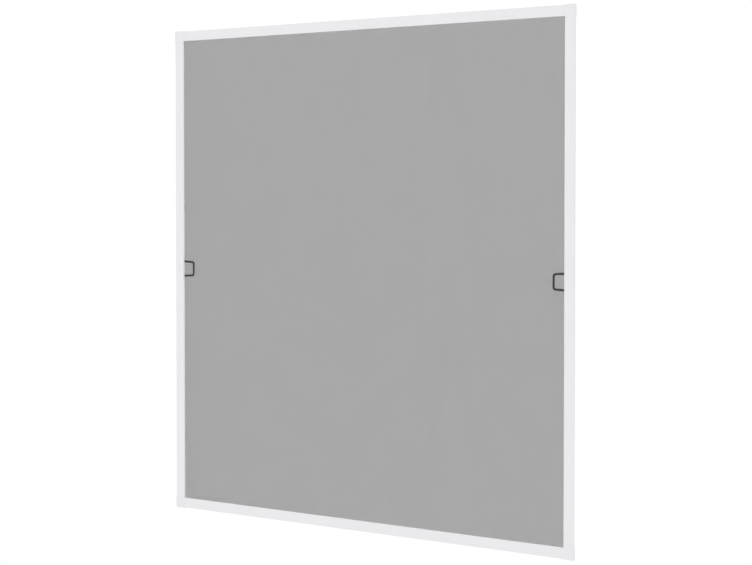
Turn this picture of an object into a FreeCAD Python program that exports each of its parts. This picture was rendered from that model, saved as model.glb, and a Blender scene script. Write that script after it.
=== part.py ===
import FreeCAD, Part
import math
import os

# Window screen frame: four hollow profiles plugged onto corner connectors, an insect mesh held by
# spline cord in a groove on the back, two pull loops and four hanging brackets.
# Millimetres. X runs to the right and Z up, and the smooth front faces -Y. The origin is the centre
# of the frame in the plane of the profiles' back faces, which lie against the window.

# Frame
frame_width = 1400.0  # over the stiles' outer faces
frame_height = 1500.0  # over the rails' outer faces

# Hollow profile
profile_face = 30.0  # width seen from the front
profile_depth = 7.0
profile_wall = 1.2
profile_edge_radius = 0.6

# Spline groove, open to the back, with a rim towards the opening
rim_width = 2.4
rim_setback = 0.8  # how far the rim stays below the back faces
rim_radius = 0.8
groove_width = 4.6
groove_floor_wall = 1.6  # what is left in front of the groove
groove_corner_radius = 0.8
barb_reach = 0.4  # barb along the groove's outer wall, over the spline
barb_height = 1.4

# Corner connectors
cap_overlap = 5.0  # along each profile, past the opening's corner
cap_proud = 1.5  # beyond the profiles' outer faces
cap_front_proud = 0.4
cap_edge_radius = 0.8
cap_corner_radius = 3.0
leg_length = 60.0
leg_clearance = 0.2
leg_wall = 1.2
leg_taper = 3.0
leg_root = 2.0  # how far the leg runs into the cap
tooth_reach = 0.15
tooth_length = 4.0
tooth_pitch = 14.0

# Insect mesh
mesh_thickness = 0.3
mesh_clearance = 0.05  # to the groove and the rim
mesh_tail = 0.3  # the folded edge stops this far below the barb
band_width = 47.0  # bands of yarns, upright and level, which leave the gaps between them
gap_pitch = 125.0  # least distance between the middles of two gaps
ridge_pitch = 5.0
ridge_height = 0.15
ridge_valley = 0.03
ridge_margin = 1.5  # plain border along the opening

# Spline cord
spline_clearance = 0.05
spline_end_gap = 0.3

# Pull loops
loop_reach = 36.0  # from the opening's edge to the middle of the grip bar
loop_base_span = 45.5  # between the arms' middles at the opening's edge
loop_grip_span = 41.0  # between the arms' middles at the grip bar
left_loop_rise = 5.4  # from the frame's middle up to the loop's middle, as fitted by hand
right_loop_rise = 2.0
loop_strap_width = 6.4
loop_strap_thickness = 2.0
loop_corner_radius = 9.0
loop_edge_chamfer = 0.5
loop_clearance = 0.05
tongue_thickness = 0.8
tongue_floor_gap = 0.85  # from the tongue's tip to the folded mesh below it

# Hanging brackets on the rails
bracket_inset = 250.0  # from the frame's outer side to the bracket's middle
bracket_width = 25.0
bracket_sheet = 1.2
bracket_bend_radius = 0.8
bracket_grip = 16.0  # from the back faces to the hook
bracket_foot = 11.0  # length of the foot that the screws hold
bracket_foot_gap = 0.8  # from the foot's end to the groove
bracket_hook = 10.7  # length of the hook, from the web's inner side
bracket_corner_radius = 2.5

# Bracket screws
screw_pitch = 13.0
screw_core_diameter = 2.2
screw_clearance = 0.05  # core to pilot hole
screw_hole_diameter = 3.2
screw_tip_gap = 1.0  # from the tip to the profile's front wall
screw_head_diameter = 5.6
screw_head_top_diameter = 4.2
screw_head_height = 1.8

# Places that several pieces share, measured across the profile from its outer face
groove_inner = profile_face - rim_width
groove_outer = groove_inner - groove_width
chamber_inner = groove_outer - profile_wall
cap_reach = profile_face + cap_overlap
foot_end = groove_outer - bracket_foot_gap
foot_start = foot_end - bracket_foot

# Levels along Y that several pieces share
front_level = -profile_depth
rim_level = -rim_setback
groove_floor = front_level + groove_floor_wall
mesh_front = rim_level + mesh_clearance
mesh_back = mesh_front + mesh_thickness
tongue_tip = groove_floor + mesh_clearance + mesh_thickness + tongue_floor_gap
screw_tip = front_level + profile_wall + screw_tip_gap

# Half sizes of the opening
opening_half_width = frame_width / 2 - profile_face
opening_half_height = frame_height / 2 - profile_face

origin = FreeCAD.Vector(0, 0, 0)
axis_y = FreeCAD.Vector(0, 1, 0)
axis_z = FreeCAD.Vector(0, 0, 1)

# Each member is drawn as the left stile stands, with X across the profile from its outer face,
# and is turned about Y to its side of the frame.
side_turns = {"left": 0, "top": 90, "right": 180, "bottom": -90}
side_places = {
    "left": FreeCAD.Vector(-frame_width / 2, 0, 0),
    "top": FreeCAD.Vector(0, 0, frame_height / 2),
    "right": FreeCAD.Vector(frame_width / 2, 0, 0),
    "bottom": FreeCAD.Vector(0, 0, -frame_height / 2),
}
stiles = ("left", "right")
rails = ("top", "bottom")


def on_side(shape, side):
    """Copy a piece from the left stile's own frame to a side of the screen frame."""
    placed = shape.copy()
    placed.rotate(origin, axis_y, side_turns[side])
    placed.translate(side_places[side])
    return placed


def half_length(side, inset):
    """Half the length of a side's member that stops an inset short of the frame's outer corners."""
    full = frame_height if side in stiles else frame_width
    return full / 2 - inset


def rounded_face(corners):
    """Face in the XY plane from (x, y, radius) corners, with a tangent arc at each radius."""
    edges = []
    starts = []
    ends = []
    count = len(corners)
    for index, (x, y, radius) in enumerate(corners):
        point = FreeCAD.Vector(x, y, 0)
        before = FreeCAD.Vector(corners[index - 1][0], corners[index - 1][1], 0) - point
        after_corner = corners[(index + 1) % count]
        after = FreeCAD.Vector(after_corner[0], after_corner[1], 0) - point
        before.normalize()
        after.normalize()
        if radius <= 0:
            starts.append(point)
            ends.append(point)
            continue
        half_angle = before.getAngle(after) / 2
        setback = radius / math.tan(half_angle)
        middle_line = before + after
        middle_line.normalize()
        middle = point + middle_line * (radius / math.sin(half_angle) - radius)
        starts.append(point + before * setback)
        ends.append(point + after * setback)
        edges.append(Part.Arc(starts[-1], middle, ends[-1]).toShape())
    for index in range(count):
        start = ends[index]
        end = starts[(index + 1) % count]
        if start.distanceToPoint(end) > 1e-6:
            edges.append(Part.LineSegment(start, end).toShape())
    return Part.Face(Part.Wire(Part.__sortEdges__(edges)))


def prism(corners, bottom, top):
    """Solid of a rounded outline in the XY plane, from one height to another along Z."""
    face = rounded_face(corners)
    face.translate(FreeCAD.Vector(0, 0, bottom))
    return face.extrude(FreeCAD.Vector(0, 0, top - bottom))


def plate(corners, front, back):
    """Solid of a rounded outline of (x, z, radius) corners, from one level to another along Y."""
    flat = prism([(x, -z, radius) for x, z, radius in corners], front, back)
    flat.rotate(origin, FreeCAD.Vector(1, 0, 0), -90)
    return flat


def box(x, y, z):
    """Box between the low and high values given for each axis."""
    corner = FreeCAD.Vector(x[0], y[0], z[0])
    return Part.makeBox(x[1] - x[0], y[1] - y[0], z[1] - z[0], corner)


def rod(diameter, x, z, front, back):
    """Round rod along Y."""
    return Part.makeCylinder(diameter / 2, back - front, FreeCAD.Vector(x, front, z), axis_y)


def section_corners(outer, front, edge_radius):
    """Outline of a member's section, with the rim and the barbed groove on its back."""
    return [
        (outer, 0, edge_radius),
        (outer, front, edge_radius),
        (profile_face, front, edge_radius),
        (profile_face, rim_level, rim_radius),
        (groove_inner, rim_level, rim_radius),
        (groove_inner, groove_floor, groove_corner_radius),
        (groove_outer, groove_floor, groove_corner_radius),
        (groove_outer, -barb_height, 0),
        (groove_outer + barb_reach, -barb_height / 2, 0),
        (groove_outer, 0, 0),
    ]


def bracket_places():
    """Positions of the two brackets along a rail."""
    place = frame_width / 2 - bracket_inset
    return -place, place


def screw_places():
    """Screw positions across and along a rail, two for each bracket."""
    across = (foot_start + foot_end) / 2
    places = []
    for place in bracket_places():
        places.append((across, place - screw_pitch / 2))
        places.append((across, place + screw_pitch / 2))
    return places


def profile(side):
    """Hollow profile between two corner caps, with pilot holes on the rails."""
    half = half_length(side, cap_reach)
    shell = prism(section_corners(0, front_level, profile_edge_radius), -half, half)
    chamber_depth = (front_level + profile_wall, -profile_wall)
    hollow = shell.cut(box((profile_wall, chamber_inner), chamber_depth, (-half, half)))
    if side in stiles:
        return hollow
    pilot = screw_core_diameter + 2 * screw_clearance
    holes = [rod(pilot, x, z, -profile_wall, 0) for x, z in screw_places()]
    return hollow.cut(holes)


def connector_leg():
    """Toothed leg that fills a profile's chamber, cored from the back between cross ribs."""
    low = profile_wall + leg_clearance
    high = chamber_inner - leg_clearance
    tip = cap_reach + leg_length
    teeth = int((leg_length - leg_taper) / tooth_pitch)
    tooth_starts = [cap_reach + tooth_pitch * (index + 0.5) for index in range(teeth)]
    outer_side = []
    inner_side = []
    for start in tooth_starts:
        outer_side += [(low, start), (low - tooth_reach, start), (low, start + tooth_length)]
        inner_side += [(high, start), (high + tooth_reach, start), (high, start + tooth_length)]
    outline = [(low, cap_reach - leg_root)] + outer_side
    outline += [(low, tip - leg_taper), (low + leg_taper, tip), (high - leg_taper, tip), (high, tip - leg_taper)]
    outline += inner_side[::-1] + [(high, cap_reach - leg_root)]
    front = front_level + profile_wall + leg_clearance
    back = -profile_wall - leg_clearance
    leg = plate([(x, z, 0) for x, z in outline], front, back)
    pockets = []
    for index in range(teeth):
        start = cap_reach + tooth_pitch * index + leg_wall
        across = (low + leg_wall, high - leg_wall)
        pockets.append(box(across, (front + leg_wall, back), (start, start + tooth_pitch - leg_wall)))
    return leg.cut(pockets)


def connector():
    """Corner connector at the lower left corner: a mitred cap with the groove and two legs."""
    low = -cap_proud
    front = front_level - cap_front_proud
    arm = prism(section_corners(low, front, cap_edge_radius), low, cap_reach)
    beyond = cap_reach + cap_proud
    mitre = plate([(low, low, 0), (beyond, beyond, 0), (low, beyond, 0)], front - cap_proud, cap_proud)
    upright = arm.common(mitre).fuse(connector_leg())
    level = upright.mirror(origin, FreeCAD.Vector(1, 0, -1))
    corner = upright.fuse(level)
    reach = cap_reach + leg_length + cap_proud
    rounding = plate(
        [(low, low, cap_corner_radius), (reach, low, 0), (reach, reach, 0), (low, reach, 0)],
        front - cap_proud,
        cap_proud,
    )
    return corner.common(rounding).removeSplitter()


def groove_line(offset, tail):
    """Line that follows the rim and the groove at an offset, down to a tail on the outer wall."""
    return [
        (profile_face, rim_level + offset, 0),
        (groove_inner - offset, rim_level + offset, rim_radius + offset),
        (groove_inner - offset, groove_floor + offset, groove_corner_radius - offset),
        (groove_outer + offset, groove_floor + offset, groove_corner_radius - offset),
        (groove_outer + offset, tail, 0),
    ]


def folded_edge(side):
    """Edge of the mesh, folded over the rim and round the groove."""
    tail = -barb_height - mesh_tail
    near = groove_line(mesh_clearance, tail)
    far = groove_line(mesh_clearance + mesh_thickness, tail)
    half = half_length(side, profile_face)
    return prism(near + far[::-1], -half, half)


def band_starts(half_span):
    """Places along one direction where the bands of yarns start, with equal gaps between them."""
    span = 2 * half_span - band_width
    gaps = int(span / gap_pitch)
    return [-half_span + index * span / gaps for index in range(gaps + 1)]


def gap_spans(starts):
    """Low and high place of each gap between the bands that start at the places given."""
    return [(start + band_width, following) for start, following in zip(starts, starts[1:])]


def ridged_band(start, half, base, outward):
    """Band of upright ridges on one face of the mesh, outward along Y by the sign given."""
    count = int(band_width / ridge_pitch)
    pitch = band_width / count
    valley = base + outward * ridge_valley
    crest = base + outward * ridge_height
    outline = [(start, base, 0), (start + pitch / 2, crest, 0)]
    for index in range(1, count):
        outline.append((start + index * pitch, valley, 0))
        outline.append((start + (index + 0.5) * pitch, crest, 0))
    outline.append((start + band_width, base, 0))
    return prism(outline, -half, half)


def insect_mesh():
    """Mesh sheet, open between its bands: warp ridges in front, weft ridges behind, folded edges."""
    wide = (-opening_half_width, opening_half_width)
    high = (-opening_half_height, opening_half_height)
    level = (mesh_front, mesh_back)
    half_width = opening_half_width - ridge_margin
    half_height = opening_half_height - ridge_margin
    columns = band_starts(half_width)
    rows = band_starts(half_height)
    gaps = [box(across, level, up) for across in gap_spans(columns) for up in gap_spans(rows)]
    sheet = box(wide, level, high).cut(gaps)
    pieces = [on_side(folded_edge(side), side) for side in side_turns]
    pieces += [ridged_band(start, half_height, mesh_front, -1) for start in columns]
    for start in rows:
        weft = ridged_band(start, half_width, mesh_back, 1)
        weft.rotate(origin, axis_y, -90)
        pieces.append(weft)
    return sheet.fuse(pieces)


def tongue_offsets():
    """Offsets from the groove of a tongue's two faces, above the folded mesh."""
    near = mesh_clearance + mesh_thickness + loop_clearance
    return near, near + tongue_thickness


def tongue_line(offset):
    """Line of a tongue's face, from under the strap over the rim and down into the groove."""
    return [
        (profile_face + ridge_margin - loop_clearance, rim_level + offset, 0),
        (groove_inner - offset, rim_level + offset, rim_radius + offset),
        (groove_inner - offset, tongue_tip, 0),
    ]


def loop_middle(side):
    """Place of a pull loop's middle along its stile, in the stile's own frame."""
    return left_loop_rise if side == "left" else -right_loop_rise


def pull_loop(side):
    """Pull loop at a stile: a strap behind the mesh and two tongues under the spline."""
    base = loop_base_span / 2
    grip = loop_grip_span / 2
    half = loop_strap_width / 2
    start = profile_face
    end = profile_face + loop_reach
    inner_radius = loop_corner_radius - loop_strap_width
    inside = [(end - half, grip - half, inner_radius), (start, base - half, 0)]
    outside = [(start, base + half, 0), (end + half, grip + half, loop_corner_radius)]
    upper = inside + outside
    lower = [(x, -z, radius) for x, z, radius in upper]
    front = mesh_back + ridge_height + loop_clearance
    strap = plate(upper + lower[::-1], front, front + loop_strap_thickness)
    strap = strap.makeChamfer(loop_edge_chamfer, strap_edges(strap))
    near, far = tongue_offsets()
    tongue = tongue_line(near) + tongue_line(far)[::-1]
    tongues = [prism(tongue, arm - half, arm + half) for arm in (-base, base)]
    loop = strap.fuse(tongues).removeSplitter()
    loop.translate(FreeCAD.Vector(0, 0, loop_middle(side)))
    return loop


def strap_edges(strap):
    """Edges along a strap's two faces, apart from those at its cut ends."""
    chosen = []
    for edge in strap.Edges:
        through = edge.BoundBox.YLength > 1e-6
        at_end = edge.BoundBox.XMax < profile_face + 1e-6
        if not through and not at_end:
            chosen.append(edge)
    return chosen


def spline(side):
    """Length of spline cord pressed into the groove over the folded mesh."""
    radius = groove_width / 2 - mesh_clearance - mesh_thickness - spline_clearance
    middle = groove_inner - groove_width / 2
    level = groove_floor + mesh_clearance + mesh_thickness + spline_clearance + radius
    end = groove_outer + spline_end_gap
    if side in rails:
        end = middle + radius + spline_end_gap
    half = half_length(side, end)
    cord = Part.makeCylinder(radius, 2 * half, FreeCAD.Vector(middle, level, -half), axis_z)
    if side in rails:
        return cord
    near, far = tongue_offsets()
    reach = loop_strap_width / 2 + loop_clearance
    across = (groove_inner - far - loop_clearance, groove_inner)
    down = (tongue_tip - loop_clearance, 0)
    presses = []
    for arm in (-loop_base_span / 2, loop_base_span / 2):
        place = loop_middle(side) + arm
        presses.append(box(across, down, (place - reach, place + reach)))
    return cord.cut(presses)


def bracket(place):
    """Hanging bracket bent from sheet: foot on the rail, web through the window and hook."""
    web = foot_start - bracket_sheet
    hook_tip = foot_start - bracket_hook
    hook_back = bracket_grip + bracket_sheet
    outer_bend = bracket_bend_radius + bracket_sheet
    outline = [
        (foot_end, 0, 0),
        (web, 0, outer_bend),
        (web, bracket_grip, bracket_bend_radius),
        (hook_tip, bracket_grip, 0),
        (hook_tip, hook_back, 0),
        (foot_start, hook_back, outer_bend),
        (foot_start, bracket_sheet, bracket_bend_radius),
        (foot_end, bracket_sheet, 0),
    ]
    half = bracket_width / 2
    strip = prism(outline, place - half, place + half)
    tips = [edge for edge in strip.Edges if is_through_sheet(edge)]
    strip = strip.makeFillet(bracket_corner_radius, tips)
    holes = [rod(screw_hole_diameter, x, z, 0, bracket_sheet) for x, z in screw_places()]
    return strip.cut(holes)


def is_through_sheet(edge):
    """True for a straight edge along Y that is as long as the bracket's sheet is thick."""
    bounds = edge.BoundBox
    level = bounds.XLength < 1e-6 and bounds.ZLength < 1e-6
    return level and abs(bounds.YLength - bracket_sheet) < 1e-6


def screw(x, z):
    """Screw along Y, with a tapered head on the bracket's foot and a pointed tip."""
    head_top = bracket_sheet + screw_head_height
    core_radius = screw_core_diameter / 2
    corners = [
        (0, screw_tip, 0),
        (core_radius, screw_tip + core_radius, 0),
        (core_radius, bracket_sheet, 0),
        (screw_head_diameter / 2, bracket_sheet, 0),
        (screw_head_top_diameter / 2, head_top, 0),
        (0, head_top, 0),
    ]
    body = rounded_face(corners).revolve(origin, axis_y, 360)
    body.translate(FreeCAD.Vector(x, 0, z))
    return body


def build():
    """Every node of the part, by name."""
    nodes = {}
    for side in rails:
        nodes[side + "_rail"] = on_side(profile(side), side)
    for side in stiles:
        nodes[side + "_stile"] = on_side(profile(side), side)
    corner = connector()
    for index, name in enumerate(("bottom_left", "top_left", "top_right", "bottom_right")):
        placed = corner.copy()
        placed.rotate(origin, axis_y, 90 * index)
        x = -frame_width / 2 if "left" in name else frame_width / 2
        z = -frame_height / 2 if "bottom" in name else frame_height / 2
        placed.translate(FreeCAD.Vector(x, 0, z))
        nodes["corner_" + name] = placed
    nodes["insect_mesh"] = insect_mesh()
    for side in side_turns:
        nodes["spline_" + side] = on_side(spline(side), side)
    for side in stiles:
        nodes["pull_loop_" + side] = on_side(pull_loop(side), side)
    screws = []
    for side in rails:
        for place in bracket_places():
            placed = on_side(bracket(place), side)
            hand = "left" if placed.BoundBox.Center.x < 0 else "right"
            nodes["bracket_" + side + "_" + hand] = placed
        screws += [on_side(screw(x, z), side) for x, z in screw_places()]
    nodes["bracket_screws"] = Part.makeCompound(screws)
    return nodes


os.makedirs("parts", exist_ok=True)
for name, shape in build().items():
    shape.exportStep(os.path.join("parts", name + ".step"))
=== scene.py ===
"""Dresses the window screen frame: coated profiles, woven mesh, splines, pull loops and screws."""

import math
import random

import bmesh
import bpy
from bpy.props import FloatProperty, FloatVectorProperty, IntProperty, PointerProperty
from mathutils import Matrix, Vector


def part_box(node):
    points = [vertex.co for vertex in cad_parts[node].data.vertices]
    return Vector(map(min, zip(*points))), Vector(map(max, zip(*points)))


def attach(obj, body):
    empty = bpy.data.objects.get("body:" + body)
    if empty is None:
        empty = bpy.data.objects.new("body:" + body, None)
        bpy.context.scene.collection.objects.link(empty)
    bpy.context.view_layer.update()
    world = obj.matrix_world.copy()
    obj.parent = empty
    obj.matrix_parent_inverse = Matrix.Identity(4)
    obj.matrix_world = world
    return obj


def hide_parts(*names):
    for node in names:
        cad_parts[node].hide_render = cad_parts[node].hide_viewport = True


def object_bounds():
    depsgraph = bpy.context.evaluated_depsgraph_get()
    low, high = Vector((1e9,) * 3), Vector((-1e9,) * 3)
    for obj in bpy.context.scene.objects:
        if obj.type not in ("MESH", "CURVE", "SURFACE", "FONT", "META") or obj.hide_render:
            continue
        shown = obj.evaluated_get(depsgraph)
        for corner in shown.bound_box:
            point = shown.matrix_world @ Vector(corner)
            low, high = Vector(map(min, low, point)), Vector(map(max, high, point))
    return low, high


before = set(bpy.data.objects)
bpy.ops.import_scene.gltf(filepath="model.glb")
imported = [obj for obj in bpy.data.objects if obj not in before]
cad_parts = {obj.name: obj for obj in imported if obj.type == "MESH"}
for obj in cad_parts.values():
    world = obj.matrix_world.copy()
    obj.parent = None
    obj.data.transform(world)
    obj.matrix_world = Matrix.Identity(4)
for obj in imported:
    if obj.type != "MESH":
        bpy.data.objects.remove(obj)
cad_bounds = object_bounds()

bl_info = {
    "name": "Window screen frame",
    "version": (1, 0, 0),
    "blender": (4, 5, 0),
    "location": "View3D > Sidebar > Screen frame",
    "description": "Finishes and fine pieces for a packed window screen frame",
    "category": "Object",
}

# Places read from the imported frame
RAIL_LOW, RAIL_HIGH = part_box("top_rail")
LOOP_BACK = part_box("pull_loop_left")[1].y
OPENING_HALF_WIDTH = -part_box("left_stile")[1].x
OPENING_HALF_HEIGHT = RAIL_LOW.z
OUTER_HALF_HEIGHT = RAIL_HIGH.z
FLOOR_LEVEL = cad_bounds[0].z

SIDES = ("left", "top", "right", "bottom")
HANDS = ("left", "right")
RAILS = ("top", "bottom")

QUARTER = math.pi / 2
QUARTER_TURN = Matrix.Rotation(QUARTER, 4, "Y")
HALF_TURN = Matrix.Rotation(math.pi, 4, "Y")
ORIGIN = (0.0, 0.0, 0.0)
UP = (0.0, 0.0, 1.0)
FRONT = (0.0, -1.0, 0.0)
WHITE = (1.0, 1.0, 1.0, 1.0)
# Half of a shape of unit size, which a matrix then scales
UNIT_HALF = 0.5


def length(name, description, default):
    """Property for a length in metres."""
    return FloatProperty(
        name=name, description=description, default=default, unit="LENGTH", precision=5
    )


def tilt(name, description, degrees):
    """Property for an angle."""
    return FloatProperty(
        name=name, description=description, default=math.radians(degrees), unit="ROTATION"
    )


def colour(name, description, default):
    """Property for a colour, in linear values."""
    return FloatVectorProperty(
        name=name, description=description, default=default, subtype="COLOR", size=3
    )


class CoatSettings(bpy.types.PropertyGroup):
    """Colours of the profiles and of the moulded corners."""

    profile_colour: colour("Profile", "Powder coat on the profiles", (0.758, 0.760, 0.775))
    corner_colour: colour("Corner", "Plastic of the corner connectors", (0.748, 0.751, 0.766))


class WeaveSettings(bpy.types.PropertyGroup):
    """Yarn and layout of the insect mesh."""

    pitch: length("Pitch", "Distance between neighbouring yarns", 0.0011)
    yarn_width: length("Yarn width", "Width of a flattened yarn", 0.000441)
    yarn_thickness: length("Yarn thickness", "Thickness of a flattened yarn", 0.00032)
    warp_level: length("Warp level", "Level of the upright yarns", -0.0006)
    weft_level: length("Weft level", "Level of the cross yarns", -0.00044)
    fold_reach: length("Fold reach", "From the opening's edge to the fold in the groove", 0.0026)
    fold_radius: length("Fold radius", "Bend of a yarn over the rim", 0.001)
    fold_depth: length("Fold depth", "How deep a yarn runs into the groove", 0.0034)
    border: length("Border", "Width of the mesh that lies on the rim", 0.0013)
    colour: colour("Yarn", "Coating of the yarn", (0.022, 0.0225, 0.0235))


class SplineSettings(bpy.types.PropertyGroup):
    """Cord that holds the mesh in the groove."""

    ribs: IntProperty(name="Ribs", description="Ribs round the cord", default=10, min=4)
    rib_depth: length("Rib depth", "Depth of the furrows between the ribs", 0.0002)
    press: length("Press", "How far a loop's tongue presses the cord in", 0.00085)
    press_ramp: length("Press ramp", "Length over which the cord yields", 0.002)
    colour: colour("Cord", "Plastic of the cord", (0.075, 0.077, 0.080))


class LoopSettings(bpy.types.PropertyGroup):
    """Straps for lifting the frame out."""

    reach: length("Reach", "From the opening's edge to the middle of the grip bar", 0.036)
    base_span: length("Base span", "Between the arms' middles at the rim", 0.0455)
    grip_span: length("Grip span", "Between the arms' middles at the grip bar", 0.041)
    strap_width: length("Strap width", "Width of the strap", 0.0064)
    strap_thickness: length("Strap thickness", "Thickness of the strap", 0.002)
    bend_radius: length("Bend radius", "Bend of the strap's middle at the grip bar", 0.0058)
    tongue_thickness: length("Tongue thickness", "Thickness under the spline", 0.0008)
    tongue_level: length("Tongue level", "Middle of the tongue over the rim", 0.00012)
    tongue_reach: length("Tongue reach", "From the opening's edge to the tongue's tip", 0.0032)
    tongue_radius: length("Tongue radius", "Bend of the tongue over the rim", 0.00172)
    tongue_depth: length("Tongue depth", "How deep the tongue runs into the groove", 0.0042)
    colour: colour("Loop", "Plastic of the loops", (0.050, 0.050, 0.051))


class ScrewSettings(bpy.types.PropertyGroup):
    """Brackets and the pan-head screws that hold them."""

    across: length("Across", "From the rail's outer face to the screw", 0.0167)
    pitch: length("Pitch", "Between the two screws of a bracket", 0.013)
    seat: length("Seat", "Level of the bracket's foot", 0.0012)
    head_diameter: length("Head diameter", "Across the head", 0.0056)
    head_height: length("Head height", "Height of the head", 0.0018)
    shank_diameter: length("Shank diameter", "Across the shank", 0.0022)
    shank_length: length("Shank length", "From the head to the tip", 0.006)
    recess_length: length("Recess length", "Across the cross recess", 0.003)
    recess_width: length("Recess width", "Width of the recess's arms", 0.0008)
    recess_depth: length("Recess depth", "Depth of the recess", 0.0009)
    steel_colour: colour("Zinc", "Plating of the screws", (0.62, 0.63, 0.65))
    bracket_colour: colour("Steel", "Sheet of the brackets", (0.52, 0.53, 0.54))


class StageSettings(bpy.types.PropertyGroup):
    """Camera, floor and light."""

    camera_place: FloatVectorProperty(
        name="Camera",
        description="Place of the camera",
        default=(2.7271, -4.0145, 0.2425),
        unit="LENGTH",
    )
    camera_yaw: tilt("Yaw", "Turn to the left", 33.654)
    camera_pitch: tilt("Pitch", "Tilt of the camera", -1.5)
    lens: FloatProperty(
        name="Lens", description="Focal length in millimetres", default=79.357, unit="CAMERA"
    )
    shift: FloatProperty(name="Shift", description="Vertical lens shift", default=-0.0609)
    floor_radius: length("Floor", "Radius of the floor's middle", 15.0)
    sweep_radius: length("Sweep", "Level rim of the floor, and its bend into the backdrop", 6.0)
    floor_glow: FloatProperty(
        name="Floor glow", description="Light from the table under the frame", default=0.998
    )
    light_base: FloatProperty(name="Light", description="Even light from all round", default=1.0)
    light_peak: FloatProperty(name="Soft box", description="Light from the soft box", default=1.25)
    light_direction: FloatVectorProperty(
        name="Soft box direction",
        description="Towards the soft box",
        default=(-0.45, -0.70, 0.55),
        subtype="DIRECTION",
    )


# Ends of the middle range of a noise, which holds nearly all of its values
NOISE_LOW = 0.3
NOISE_HIGH = 0.7


class Finish:
    """Material in the making, with patterns over the piece's own coordinates."""

    def __init__(self, name):
        self.material = bpy.data.materials.new(name)
        self.material.use_nodes = True
        self.tree = self.material.node_tree
        self.main = self.tree.nodes["Principled BSDF"]

    def set_value(self, socket, value):
        """Sets a value that is the same all over."""
        self.main.inputs[socket].default_value = value

    def noise(self, scale, detail=2.0, stretch=(1.0, 1.0, 1.0)):
        """Noise with a scale in features per metre."""
        place = self.tree.nodes.new("ShaderNodeTexCoord")
        mapping = self.tree.nodes.new("ShaderNodeMapping")
        mapping.inputs["Scale"].default_value = stretch
        noise = self.tree.nodes.new("ShaderNodeTexNoise")
        noise.inputs["Scale"].default_value = scale
        noise.inputs["Detail"].default_value = detail
        self.tree.links.new(place.outputs["Object"], mapping.inputs["Vector"])
        self.tree.links.new(mapping.outputs["Vector"], noise.inputs["Vector"])
        return noise.outputs["Fac"]

    def vary_tone(self, factor, base, low, high):
        """Lets the colour vary between a darker and a lighter tone of its base."""
        ramp = self.tree.nodes.new("ShaderNodeValToRGB")
        dark, light = ramp.color_ramp.elements
        dark.position = NOISE_LOW
        light.position = NOISE_HIGH
        dark.color = [channel * low for channel in base] + [1.0]
        light.color = [channel * high for channel in base] + [1.0]
        self.tree.links.new(factor, ramp.inputs["Fac"])
        self.tree.links.new(ramp.outputs["Color"], self.main.inputs["Base Color"])

    def vary_roughness(self, factor, low, high):
        """Lets the roughness vary over a range."""
        spread = self.tree.nodes.new("ShaderNodeMapRange")
        spread.inputs["From Min"].default_value = NOISE_LOW
        spread.inputs["From Max"].default_value = NOISE_HIGH
        spread.inputs["To Min"].default_value = low
        spread.inputs["To Max"].default_value = high
        self.tree.links.new(factor, spread.inputs["Value"])
        self.tree.links.new(spread.outputs["Result"], self.main.inputs["Roughness"])

    def add_relief(self, height, depth):
        """Adds a relief with a depth in metres."""
        relief = self.tree.nodes.new("ShaderNodeBump")
        relief.inputs["Distance"].default_value = depth
        self.tree.links.new(height, relief.inputs["Height"])
        self.tree.links.new(relief.outputs["Normal"], self.main.inputs["Normal"])


def powder_coat(base):
    """White powder coat with a fine orange peel."""
    finish = Finish("powder_coat")
    finish.vary_tone(finish.noise(scale=9.0, detail=4.0), base, low=0.985, high=1.015)
    finish.vary_roughness(finish.noise(scale=60.0), low=0.36, high=0.46)
    finish.add_relief(finish.noise(scale=1100.0, detail=3.0), depth=0.000012)
    return finish.material


def moulded_white(base):
    """White moulded plastic with a fine spark-eroded grain."""
    finish = Finish("moulded_white")
    finish.vary_tone(finish.noise(scale=25.0, detail=3.0), base, low=0.985, high=1.015)
    finish.vary_roughness(finish.noise(scale=90.0), low=0.42, high=0.54)
    finish.add_relief(finish.noise(scale=2600.0), depth=0.00001)
    return finish.material


def coated_yarn(base):
    """Dark plastic-coated glass yarn, a little different from yarn to yarn."""
    finish = Finish("coated_yarn")
    tone = finish.tree.nodes.new("ShaderNodeAttribute")
    tone.attribute_name = "yarn_tone"
    finish.vary_tone(tone.outputs["Fac"], base, low=0.75, high=1.3)
    finish.vary_roughness(finish.noise(scale=400.0), low=0.48, high=0.66)
    finish.set_value("Specular IOR Level", 0.35)
    finish.add_relief(finish.noise(scale=5000.0, detail=1.0), depth=0.00001)
    return finish.material


def ribbed_vinyl(base):
    """Dull vinyl of the spline cord."""
    finish = Finish("ribbed_vinyl")
    finish.vary_tone(finish.noise(scale=120.0, detail=3.0), base, low=0.8, high=1.2)
    finish.vary_roughness(finish.noise(scale=300.0), low=0.5, high=0.7)
    finish.add_relief(finish.noise(scale=3000.0), depth=0.00002)
    return finish.material


def loop_plastic(base):
    """Dark grey flexible plastic with a faint grain."""
    finish = Finish("loop_plastic")
    finish.vary_tone(finish.noise(scale=150.0, detail=3.0), base, low=0.8, high=1.25)
    finish.vary_roughness(finish.noise(scale=350.0), low=0.42, high=0.58)
    finish.add_relief(finish.noise(scale=2400.0), depth=0.000015)
    return finish.material


def rolled_steel(base):
    """Stainless sheet with the grain of rolling along the strip."""
    finish = Finish("rolled_steel")
    grain = finish.noise(scale=1.0, detail=4.0, stretch=(2600.0, 25.0, 25.0))
    finish.vary_tone(grain, base, low=0.85, high=1.12)
    finish.vary_roughness(grain, low=0.24, high=0.4)
    finish.set_value("Metallic", 1.0)
    finish.add_relief(grain, depth=0.000008)
    return finish.material


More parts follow.
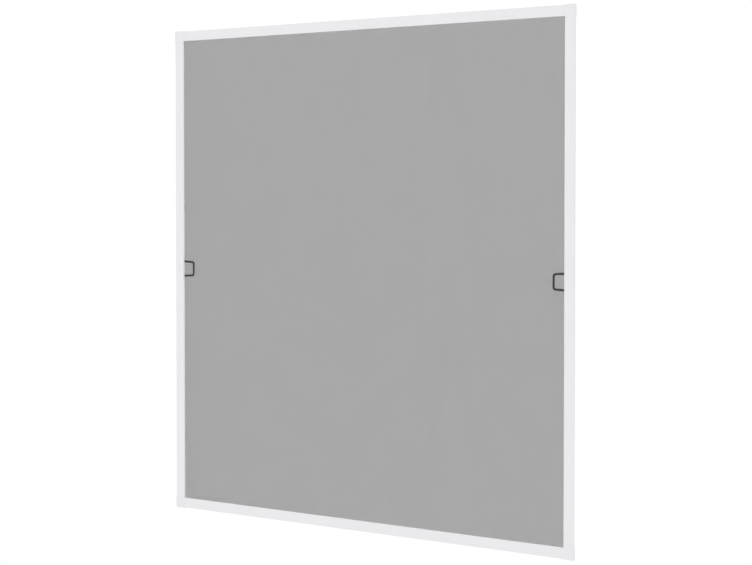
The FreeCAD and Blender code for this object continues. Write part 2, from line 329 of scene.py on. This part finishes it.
def zinc_plate(base):
    """Bright zinc plating of the screws."""
    finish = Finish("zinc_plate")
    finish.vary_tone(finish.noise(scale=700.0, detail=3.0), base, low=0.86, high=1.08)
    finish.vary_roughness(finish.noise(scale=1200.0), low=0.2, high=0.34)
    finish.set_value("Metallic", 1.0)
    finish.add_relief(finish.noise(scale=4000.0), depth=0.000006)
    return finish.material


TABLE_COLOUR = (0.02, 0.02, 0.02, 1.0)
# Keeps only the depth of a place on the table and turns it towards the frame
TOWARDS_FRAME = (0.0, -1.0, 0.0)


def light_table(glow):
    """White table that is lit evenly from below, so that no shade shows on it."""
    finish = Finish("light_table")
    finish.set_value("Base Color", TABLE_COLOUR)
    finish.set_value("Specular IOR Level", 0.0)
    finish.set_value("Emission Color", WHITE)
    finish.set_value("Emission Strength", glow)
    # Shading that is turned to the frame, on both sides of it, leaves less noise in the mesh.
    tree = finish.tree
    place = tree.nodes.new("ShaderNodeTexCoord")
    across = tree.nodes.new("ShaderNodeVectorMath")
    across.operation = "MULTIPLY"
    across.inputs[1].default_value = TOWARDS_FRAME
    inward = tree.nodes.new("ShaderNodeVectorMath")
    inward.operation = "NORMALIZE"
    tree.links.new(place.outputs["Object"], across.inputs[0])
    tree.links.new(across.outputs["Vector"], inward.inputs[0])
    tree.links.new(inward.outputs["Vector"], finish.main.inputs["Normal"])
    # The glow is broad and even, so scattered rays find it well enough.
    finish.material.cycles.emission_sampling = "NONE"
    return finish.material


def corner_names(kind):
    """Names of the four nodes of a kind, one near each corner."""
    return [kind + "_" + side + "_" + hand for side in RAILS for hand in HANDS]


def finish_nodes(names, material):
    """Gives a material to every slot of the named frame nodes."""
    for name in names:
        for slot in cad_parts[name].material_slots:
            slot.material = material


def add_piece(name, shape, material, nodes, crease):
    """Turns a bmesh into a piece that stands for its nodes, smooth up to a crease in degrees."""
    bmesh.ops.recalc_face_normals(shape, faces=shape.faces[:])
    mesh = bpy.data.meshes.new(name)
    shape.to_mesh(mesh)
    shape.free()
    mesh.shade_smooth()
    mesh.set_sharp_from_angle(angle=math.radians(crease))
    mesh.materials.append(material)
    piece = bpy.data.objects.new(name, mesh)
    bpy.context.scene.collection.objects.link(piece)
    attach(piece, "root")
    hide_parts(*nodes)
    return piece


def of_kind(items, kind):
    """Vertices or edges among the parts that an operator made."""
    return [item for item in items if isinstance(item, kind)]


def open_edges(shape):
    """Ring of edges that bound a single face."""
    return [edge for edge in shape.edges if edge.is_boundary]


def ring_verts(ring):
    """Vertices of a ring of edges, each once and in order."""
    return list(dict.fromkeys(vert for edge in ring for vert in edge.verts))


def ring_middle(ring):
    """Mean place of a ring's vertices."""
    verts = ring_verts(ring)
    return sum((vert.co for vert in verts), Vector()) / len(verts)


def pull(shape, ring, vector):
    """Extrudes a ring of edges along a vector and returns the new ring."""
    made = bmesh.ops.extrude_edge_only(shape, edges=ring)["geom"]
    verts = of_kind(made, bmesh.types.BMVert)
    bmesh.ops.translate(shape, verts=verts, vec=vector)
    edges = of_kind(made, bmesh.types.BMEdge)
    return [edge for edge in edges if all(vert in verts for vert in edge.verts)]


def turn(shape, ring, centre, axis, angle, steps):
    """Sweeps a ring of edges round an axis and returns the last ring."""
    made = bmesh.ops.spin(
        shape,
        geom=ring,
        cent=centre,
        axis=axis,
        angle=angle,
        steps=steps,
        use_merge=False,
        use_duplicate=False,
    )
    return of_kind(made["geom_last"], bmesh.types.BMEdge)


def squeeze(shape, ring, pivot, factors):
    """Scales a ring about a point."""
    there = Matrix.Translation(pivot)
    matrix = there @ Matrix.Diagonal((*factors, 1.0)) @ there.inverted()
    bmesh.ops.transform(shape, matrix=matrix, verts=ring_verts(ring))


def flare(shape, ring, rise, share):
    """Extrudes a ring along Z, scales it about the Z axis and returns it."""
    ring = pull(shape, ring, (0.0, 0.0, rise))
    squeeze(shape, ring, ORIGIN, (share, share, 1.0))
    return ring


YARN_SIDES = 6
FOLD_STEPS = 1
YARN_CREASE = 75
YARN_SEED = 5
MIDDLE_TONE = 0.5
TONE_SPREAD = 0.12


def yarn(half_span, level, weave):
    """One yarn along X, out of the groove, over the rim, across the opening and down again."""
    shape = bmesh.new()
    reach = half_span + weave.fold_reach
    radius = weave.fold_radius
    rise = level - radius + weave.fold_depth
    start = Matrix.Translation((-reach, -weave.fold_depth, 0.0))
    flat = Matrix.Diagonal((weave.yarn_thickness, weave.yarn_width, 1.0, 1.0))
    place = start @ Matrix.Rotation(QUARTER, 4, "X") @ flat
    bmesh.ops.create_circle(
        shape, cap_ends=True, segments=YARN_SIDES, radius=UNIT_HALF, matrix=place
    )
    ring = pull(shape, open_edges(shape), (0.0, rise, 0.0))
    bend = Vector((radius - reach, level - radius, 0.0))
    ring = turn(shape, ring, bend, UP, -QUARTER, FOLD_STEPS)
    ring = pull(shape, ring, (2 * (reach - radius), 0.0, 0.0))
    bend.x = reach - radius
    ring = turn(shape, ring, bend, UP, -QUARTER, FOLD_STEPS)
    ring = pull(shape, ring, (0.0, -rise, 0.0))
    bmesh.ops.contextual_create(shape, geom=ring)
    return shape


def lay_out(shape, count, step):
    """Copies the one yarn in a bmesh until a count of them lies evenly about the middle."""
    sizes = (len(shape.verts), len(shape.edges), len(shape.faces))
    copies = 1
    while copies < count:
        batch = min(copies, count - copies)
        verts, edges, faces = [batch * size for size in sizes]
        geom = shape.verts[:verts] + shape.edges[:edges] + shape.faces[:faces]
        made = bmesh.ops.duplicate(shape, geom=geom)["geom"]
        moved = of_kind(made, bmesh.types.BMVert)
        bmesh.ops.translate(shape, verts=moved, vec=step * copies)
        copies += batch
    bmesh.ops.translate(shape, verts=shape.verts[:], vec=step * (1 - count) / 2)


def add_yarns(weave, shape, half_span, half_spread, level, matrix):
    """Lays out parallel yarns, turns them, adds them to the mesh sheet and returns their count."""
    strand = yarn(half_span, level, weave)
    count = int(2 * (half_spread + weave.border) / weave.pitch) + 1
    lay_out(strand, count, Vector((0.0, 0.0, weave.pitch)))
    bmesh.ops.transform(strand, matrix=matrix, verts=strand.verts[:])
    laid = bpy.data.meshes.new("yarns")
    strand.to_mesh(laid)
    strand.free()
    shape.from_mesh(laid)
    bpy.data.meshes.remove(laid)
    return count


def tone_yarns(mesh, count):
    """Gives every yarn a tone of its own."""
    chance = random.Random(YARN_SEED)
    per_yarn = len(mesh.vertices) // count
    tones = []
    for _ in range(count):
        tones += [min(1.0, max(0.0, chance.gauss(MIDDLE_TONE, TONE_SPREAD)))] * per_yarn
    tone = mesh.attributes.new("yarn_tone", "FLOAT", "POINT")
    tone.data.foreach_set("value", tones)


class SCREEN_OT_coat_profiles(bpy.types.Operator):
    """Coat the four profiles and finish the moulded corners"""

    bl_idname = "screen_frame.coat_profiles"
    bl_label = "Coat profiles"

    def execute(self, context):
        coat = context.scene.screen_coat
        profiles = [hand + "_stile" for hand in HANDS] + [side + "_rail" for side in RAILS]
        finish_nodes(profiles, powder_coat(coat.profile_colour))
        finish_nodes(corner_names("corner"), moulded_white(coat.corner_colour))
        return {"FINISHED"}


class SCREEN_OT_weave_mesh(bpy.types.Operator):
    """Weave the insect mesh and fold its edges into the groove"""

    bl_idname = "screen_frame.weave_mesh"
    bl_label = "Weave mesh"

    def execute(self, context):
        weave = context.scene.screen_weave
        wide, high = OPENING_HALF_WIDTH, OPENING_HALF_HEIGHT
        shape = bmesh.new()
        count = add_yarns(weave, shape, wide, high, weave.weft_level, Matrix.Identity(4))
        count += add_yarns(weave, shape, high, wide, weave.warp_level, QUARTER_TURN)
        coat = coated_yarn(weave.colour)
        piece = add_piece("woven_mesh", shape, coat, ["insect_mesh"], YARN_CREASE)
        tone_yarns(piece.data, count)
        # The yarns cast no shadow and diffuse rays pass them by, so the rims stay white.
        piece.visible_shadow = False
        piece.visible_diffuse = False
        return {"FINISHED"}


SIDES_PER_RIB = 4
CORD_CREASE = 50


def loop_middle(hand):
    """Height of a pull loop's middle."""
    low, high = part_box("pull_loop_" + hand)
    return (low.z + high.z) / 2


def ribbed_cord(radius, half_length, tongues, spline, loop):
    """Ribbed cord along Z, pressed in on its +X side where a loop's tongue passes."""
    shape = bmesh.new()
    place = Matrix.Translation((0.0, 0.0, -half_length))
    sides = SIDES_PER_RIB * spline.ribs
    bmesh.ops.create_circle(shape, cap_ends=True, segments=sides, radius=radius, matrix=place)
    for vert in shape.verts:
        furrow = (1 - math.cos(spline.ribs * math.atan2(vert.co.y, vert.co.x))) / 2
        share = 1 - furrow * spline.rib_depth / radius
        vert.co.x *= share
        vert.co.y *= share
    ring = open_edges(shape)
    reached = -half_length
    far_side = (-radius, 0.0, 0.0)
    pressed = 1 - spline.press / (2 * radius)
    near = loop.strap_width / 2
    far = near + spline.press_ramp
    for middle in tongues:
        ring = pull(shape, ring, (0.0, 0.0, middle - far - reached))
        ring = pull(shape, ring, (0.0, 0.0, spline.press_ramp))
        squeeze(shape, ring, far_side, (pressed, 1.0, 1.0))
        ring = pull(shape, ring, (0.0, 0.0, 2 * near))
        ring = pull(shape, ring, (0.0, 0.0, spline.press_ramp))
        squeeze(shape, ring, far_side, (1 / pressed, 1.0, 1.0))
        reached = middle + far
    ring = pull(shape, ring, (0.0, 0.0, half_length - reached))
    bmesh.ops.contextual_create(shape, geom=ring)
    return shape


class SCREEN_OT_press_splines(bpy.types.Operator):
    """Press a ribbed spline cord into the groove on each side"""

    bl_idname = "screen_frame.press_splines"
    bl_label = "Press splines"

    def execute(self, context):
        spline = context.scene.screen_spline
        loop = context.scene.screen_loop
        vinyl = ribbed_vinyl(spline.colour)
        upright = {"left": Matrix.Identity(4), "right": HALF_TURN}
        for side in SIDES:
            node = "spline_" + side
            low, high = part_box(node)
            middle = (low + high) / 2
            radius = (high.y - low.y) / 2
            matrix = Matrix.Translation(middle) @ upright.get(side, QUARTER_TURN)
            tongues = []
            half_length = (high.x - low.x) / 2
            if side in upright:
                half_length = (high.z - low.z) / 2
                place = matrix.inverted() @ Vector((middle.x, middle.y, loop_middle(side)))
                tongues = [place.z - loop.base_span / 2, place.z + loop.base_span / 2]
            shape = ribbed_cord(radius, half_length, tongues, spline, loop)
            bmesh.ops.transform(shape, matrix=matrix, verts=shape.verts[:])
            name = "ribbed_spline_" + side
            add_piece(name, shape, vinyl, [node], CORD_CREASE)
        return {"FINISHED"}


# Share of the tongue's thickness that its rounded edges take
EDGE_ROUND = 0.25
EDGE_STEPS = 3
TONGUE_STEPS = 6
BEND_STEPS = 10
LOOP_CREASE = 40
# How far past the opening's edge the tongue has grown to the strap's thickness
RAMP_PAST_EDGE = 0.0006


def moulded_loop(loop):
    """Pull loop at the left stile: two tongues over the rim, two arms and a grip bar."""
    shape = bmesh.new()
    edge = -OPENING_HALF_WIDTH
    half_base = loop.base_span / 2
    slope = math.atan2((loop.base_span - loop.grip_span) / 2, loop.reach)
    tip = Vector((edge - loop.tongue_reach, -loop.tongue_depth, -half_base))
    bmesh.ops.create_grid(shape, x_segments=1, y_segments=1, size=UNIT_HALF)
    size = (loop.tongue_thickness, loop.strap_width, 1.0, 1.0)
    place = Matrix.Translation(tip) @ Matrix.Rotation(QUARTER, 4, "X") @ Matrix.Diagonal(size)
    bmesh.ops.transform(shape, matrix=place, verts=shape.verts[:])
    bmesh.ops.bevel(
        shape,
        geom=shape.verts[:],
        offset=loop.tongue_thickness * EDGE_ROUND,
        affect="VERTICES",
        segments=EDGE_STEPS,
        profile=0.5,
        material=-1,
    )
    radius = loop.tongue_radius
    rise = loop.tongue_level - radius + loop.tongue_depth
    ring = pull(shape, open_edges(shape), (0.0, rise, 0.0))
    over = Vector((tip.x + radius, loop.tongue_level - radius, tip.z))
    ring = turn(shape, ring, over, UP, -QUARTER, TONGUE_STEPS)
    # The tongue thickens into the strap over the rim.
    strap_middle = LOOP_BACK - loop.strap_thickness / 2
    climb = strap_middle - loop.tongue_level
    ramp = edge + RAMP_PAST_EDGE - (tip.x + radius)
    lean = ramp * math.tan(slope)
    ring = pull(shape, ring, (ramp, climb, lean))
    foot = ring_middle(ring)
    squeeze(shape, ring, foot, (1.0, loop.strap_thickness / loop.tongue_thickness, 1.0))
    # Arm, bend, grip bar, bend and arm, all flat behind the mesh.
    corner = Vector((edge + loop.reach, strap_middle, -loop.grip_span / 2))
    swing = QUARTER - slope
    setback = loop.bend_radius * math.tan(swing / 2)
    arm = (corner - foot).length - setback
    ring = pull(shape, ring, Vector((math.cos(slope), 0.0, math.sin(slope))) * arm)
    centre = corner + Vector((-loop.bend_radius, 0.0, setback))
    ring = turn(shape, ring, centre, FRONT, swing, BEND_STEPS)
    ring = pull(shape, ring, (0.0, 0.0, loop.grip_span - 2 * setback))
    centre.z = -centre.z
    ring = turn(shape, ring, centre, FRONT, swing, BEND_STEPS)
    ring = pull(shape, ring, Vector((-math.cos(slope), 0.0, math.sin(slope))) * arm)
    # The strap thins into the second tongue.
    ring = pull(shape, ring, (-ramp, -climb, lean))
    thin = loop.tongue_thickness / loop.strap_thickness
    squeeze(shape, ring, ring_middle(ring), (1.0, thin, 1.0))
    over.z = half_base
    ring = turn(shape, ring, over, UP, QUARTER, TONGUE_STEPS)
    ring = pull(shape, ring, (0.0, -rise, 0.0))
    bmesh.ops.contextual_create(shape, geom=ring)
    return shape


class SCREEN_OT_mould_loops(bpy.types.Operator):
    """Mould the two pull loops behind the mesh"""

    bl_idname = "screen_frame.mould_loops"
    bl_label = "Mould loops"

    def execute(self, context):
        loop = context.scene.screen_loop
        plastic = loop_plastic(loop.colour)
        for hand in HANDS:
            shape = moulded_loop(loop)
            if hand == "right":
                bmesh.ops.transform(shape, matrix=HALF_TURN, verts=shape.verts[:])
            bmesh.ops.translate(shape, verts=shape.verts[:], vec=(0.0, 0.0, loop_middle(hand)))
            name = "moulded_loop_" + hand
            add_piece(name, shape, plastic, ["pull_loop_" + hand], LOOP_CREASE)
        return {"FINISHED"}


class SCREEN_OT_finish_brackets(bpy.types.Operator):
    """Give the hanging brackets their rolled steel"""

    bl_idname = "screen_frame.finish_brackets"
    bl_label = "Finish brackets"

    def execute(self, context):
        steel = rolled_steel(context.scene.screen_screw.bracket_colour)
        finish_nodes(corner_names("bracket"), steel)
        return {"FINISHED"}


HEAD_SIDES = 24
# Share of the head's radius and of its height at each ring of the dome, from the top down
HEAD_DOME = ((0.66, 1.0), (0.82, 0.93), (0.93, 0.78), (1.0, 0.5), (1.0, 0.06), (0.97, 0.0))
# Shares of the recess's size at its floor and of the shank's size at the tip
RECESS_FLOOR = 0.55
TIP = 0.08
SCREW_CREASE = 35
SCREW_SEED = 11


def pan_screw(screw):
    """Screw along Z with its head's seat at zero: crossed recess, dome, shank and point."""
    shape = bmesh.new()
    top = screw.head_height
    head = screw.head_diameter / 2
    shank = screw.shank_diameter / 2
    long_half = screw.recess_length / 2
    short_half = screw.recess_width / 2
    arm = ((long_half, -short_half), (long_half, short_half), (short_half, short_half))
    cross = []
    for quarter in range(4):
        turned = Matrix.Rotation(quarter * QUARTER, 3, "Z")
        cross += [shape.verts.new(turned @ Vector((x, y, top))) for x, y in arm]
    recess = [shape.edges.new((cross[index - 1], cross[index])) for index in range(len(cross))]
    place = Matrix.Translation((0.0, 0.0, top))
    crown = head * HEAD_DOME[0][0]
    before = set(shape.edges)
    bmesh.ops.create_circle(shape, segments=HEAD_SIDES, radius=crown, matrix=place)
    ring = [edge for edge in shape.edges if edge not in before]
    bmesh.ops.bridge_loops(shape, edges=recess + ring)
    floor = flare(shape, recess, -screw.recess_depth, RECESS_FLOOR)
    bmesh.ops.contextual_create(shape, geom=floor)
    for (wide, high), (next_wide, next_high) in zip(HEAD_DOME, HEAD_DOME[1:]):
        ring = flare(shape, ring, (next_high - high) * top, next_wide / wide)
    ring = flare(shape, ring, 0.0, shank / (head * HEAD_DOME[-1][0]))
    ring = pull(shape, ring, (0.0, 0.0, shank - screw.shank_length))
    ring = flare(shape, ring, -shank, TIP)
    bmesh.ops.contextual_create(shape, geom=ring)
    return shape


class SCREEN_OT_drive_screws(bpy.types.Operator):
    """Drive two pan-head screws through each bracket"""

    bl_idname = "screen_frame.drive_screws"
    bl_label = "Drive screws"

    def execute(self, context):
        screw = context.scene.screen_screw
        single = bpy.data.meshes.new("screw")
        shape = pan_screw(screw)
        shape.to_mesh(single)
        shape.free()
        chance = random.Random(SCREW_SEED)
        backward = Matrix.Rotation(-QUARTER, 4, "X")
        every = bmesh.new()
        for node in corner_names("bracket"):
            low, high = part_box(node)
            height = math.copysign(OUTER_HALF_HEIGHT - screw.across, low.z)
            for offset in (-screw.pitch / 2, screw.pitch / 2):
                place = Vector(((low.x + high.x) / 2 + offset, screw.seat, height))
                spin = Matrix.Rotation(chance.uniform(0, QUARTER), 4, "Z")
                placed = single.copy()
                placed.transform(Matrix.Translation(place) @ backward @ spin)
                every.from_mesh(placed)
                bpy.data.meshes.remove(placed)
        bpy.data.meshes.remove(single)
        zinc = zinc_plate(screw.steel_colour)
        add_piece("pan_head_screws", every, zinc, ["bracket_screws"], SCREW_CREASE)
        return {"FINISHED"}


FLOOR_SIDES = 96
FLOOR_CLEARANCE = 0.0001
SWEEP_STEPS = 16


def swept_floor(stage):
    """Level floor that bends up in a quarter round, so that no far edge shows behind the mesh."""
    shape = bmesh.new()
    wide, high = stage.floor_radius, 0.0
    place = Matrix.Translation((0.0, 0.0, FLOOR_LEVEL - FLOOR_CLEARANCE))
    bmesh.ops.create_circle(
        shape, cap_ends=True, segments=FLOOR_SIDES, radius=wide, matrix=place
    )
    ring = open_edges(shape)
    for step in range(SWEEP_STEPS + 1):
        angle = QUARTER * step / SWEEP_STEPS
        next_wide = stage.floor_radius + stage.sweep_radius * (1 + math.sin(angle))
        next_high = stage.sweep_radius * (1 - math.cos(angle))
        ring = flare(shape, ring, next_high - high, next_wide / wide)
        wide, high = next_wide, next_high
    bmesh.ops.recalc_face_normals(shape, faces=shape.faces[:])
    return shape


class SCREEN_OT_set_stage(bpy.types.Operator):
    """Set up the floor, the light and the camera"""

    bl_idname = "screen_frame.set_stage"
    bl_label = "Set stage"

    def execute(self, context):
        scene = context.scene
        stage = scene.screen_stage
        shape = swept_floor(stage)
        mesh = bpy.data.meshes.new("floor")
        shape.to_mesh(mesh)
        shape.free()
        mesh.shade_smooth()
        mesh.materials.append(light_table(stage.floor_glow))
        floor = bpy.data.objects.new("floor", mesh)
        scene.collection.objects.link(floor)
        self.light_room(scene, stage)
        self.place_camera(scene, stage)
        scene.view_settings.view_transform = "Standard"
        return {"FINISHED"}

    def light_room(self, scene, stage):
        """White surroundings with one broad soft box."""
        world = bpy.data.worlds.new("studio")
        world.use_nodes = True
        scene.world = world
        tree = world.node_tree
        direction = tree.nodes.new("ShaderNodeTexCoord")
        towards = tree.nodes.new("ShaderNodeVectorMath")
        towards.operation = "DOT_PRODUCT"
        towards.inputs[1].default_value = Vector(stage.light_direction).normalized()
        strength = tree.nodes.new("ShaderNodeMapRange")
        strength.interpolation_type = "SMOOTHSTEP"
        strength.inputs["To Min"].default_value = stage.light_base
        strength.inputs["To Max"].default_value = stage.light_peak
        background = tree.nodes["Background"]
        background.inputs["Color"].default_value = WHITE
        tree.links.new(direction.outputs["Generated"], towards.inputs[0])
        tree.links.new(towards.outputs["Value"], strength.inputs["Value"])
        tree.links.new(strength.outputs["Result"], background.inputs["Strength"])

    def place_camera(self, scene, stage):
        """Camera at the photograph's place and angle."""
        data = bpy.data.cameras.new("camera")
        data.lens = stage.lens
        data.shift_y = stage.shift
        camera = bpy.data.objects.new("camera", data)
        camera.location = stage.camera_place
        camera.rotation_euler = (QUARTER + stage.camera_pitch, 0.0, stage.camera_yaw)
        scene.collection.objects.link(camera)
        scene.camera = camera


OPERATORS = (
    SCREEN_OT_coat_profiles,
    SCREEN_OT_weave_mesh,
    SCREEN_OT_press_splines,
    SCREEN_OT_mould_loops,
    SCREEN_OT_finish_brackets,
    SCREEN_OT_drive_screws,
    SCREEN_OT_set_stage,
)
SETTINGS = {
    "screen_coat": CoatSettings,
    "screen_weave": WeaveSettings,
    "screen_spline": SplineSettings,
    "screen_loop": LoopSettings,
    "screen_screw": ScrewSettings,
    "screen_stage": StageSettings,
}


class SCREEN_PT_tools(bpy.types.Panel):
    """Steps and settings of the window screen frame"""

    bl_idname = "SCREEN_PT_tools"
    bl_label = "Window screen frame"
    bl_space_type = "VIEW_3D"
    bl_region_type = "UI"
    bl_category = "Screen frame"

    def draw(self, context):
        for operator in OPERATORS:
            self.layout.operator(operator.bl_idname)
        for name in SETTINGS:
            column = self.layout.column(align=True)
            settings = getattr(context.scene, name)
            for field in settings.__annotations__:
                column.prop(settings, field)


def register():
    for name, settings in SETTINGS.items():
        bpy.utils.register_class(settings)
        setattr(bpy.types.Scene, name, PointerProperty(type=settings))
    for operator in OPERATORS:
        bpy.utils.register_class(operator)
    bpy.utils.register_class(SCREEN_PT_tools)


def unregister():
    bpy.utils.unregister_class(SCREEN_PT_tools)
    for operator in reversed(OPERATORS):
        bpy.utils.unregister_class(operator)
    for name, settings in reversed(SETTINGS.items()):
        delattr(bpy.types.Scene, name)
        bpy.utils.unregister_class(settings)


def main():
    """Runs every step in order."""
    register()
    bpy.ops.screen_frame.coat_profiles()
    bpy.ops.screen_frame.weave_mesh()
    bpy.ops.screen_frame.press_splines()
    bpy.ops.screen_frame.mould_loops()
    bpy.ops.screen_frame.finish_brackets()
    bpy.ops.screen_frame.drive_screws()
    bpy.ops.screen_frame.set_stage()


if __name__ == "__main__":
    main()
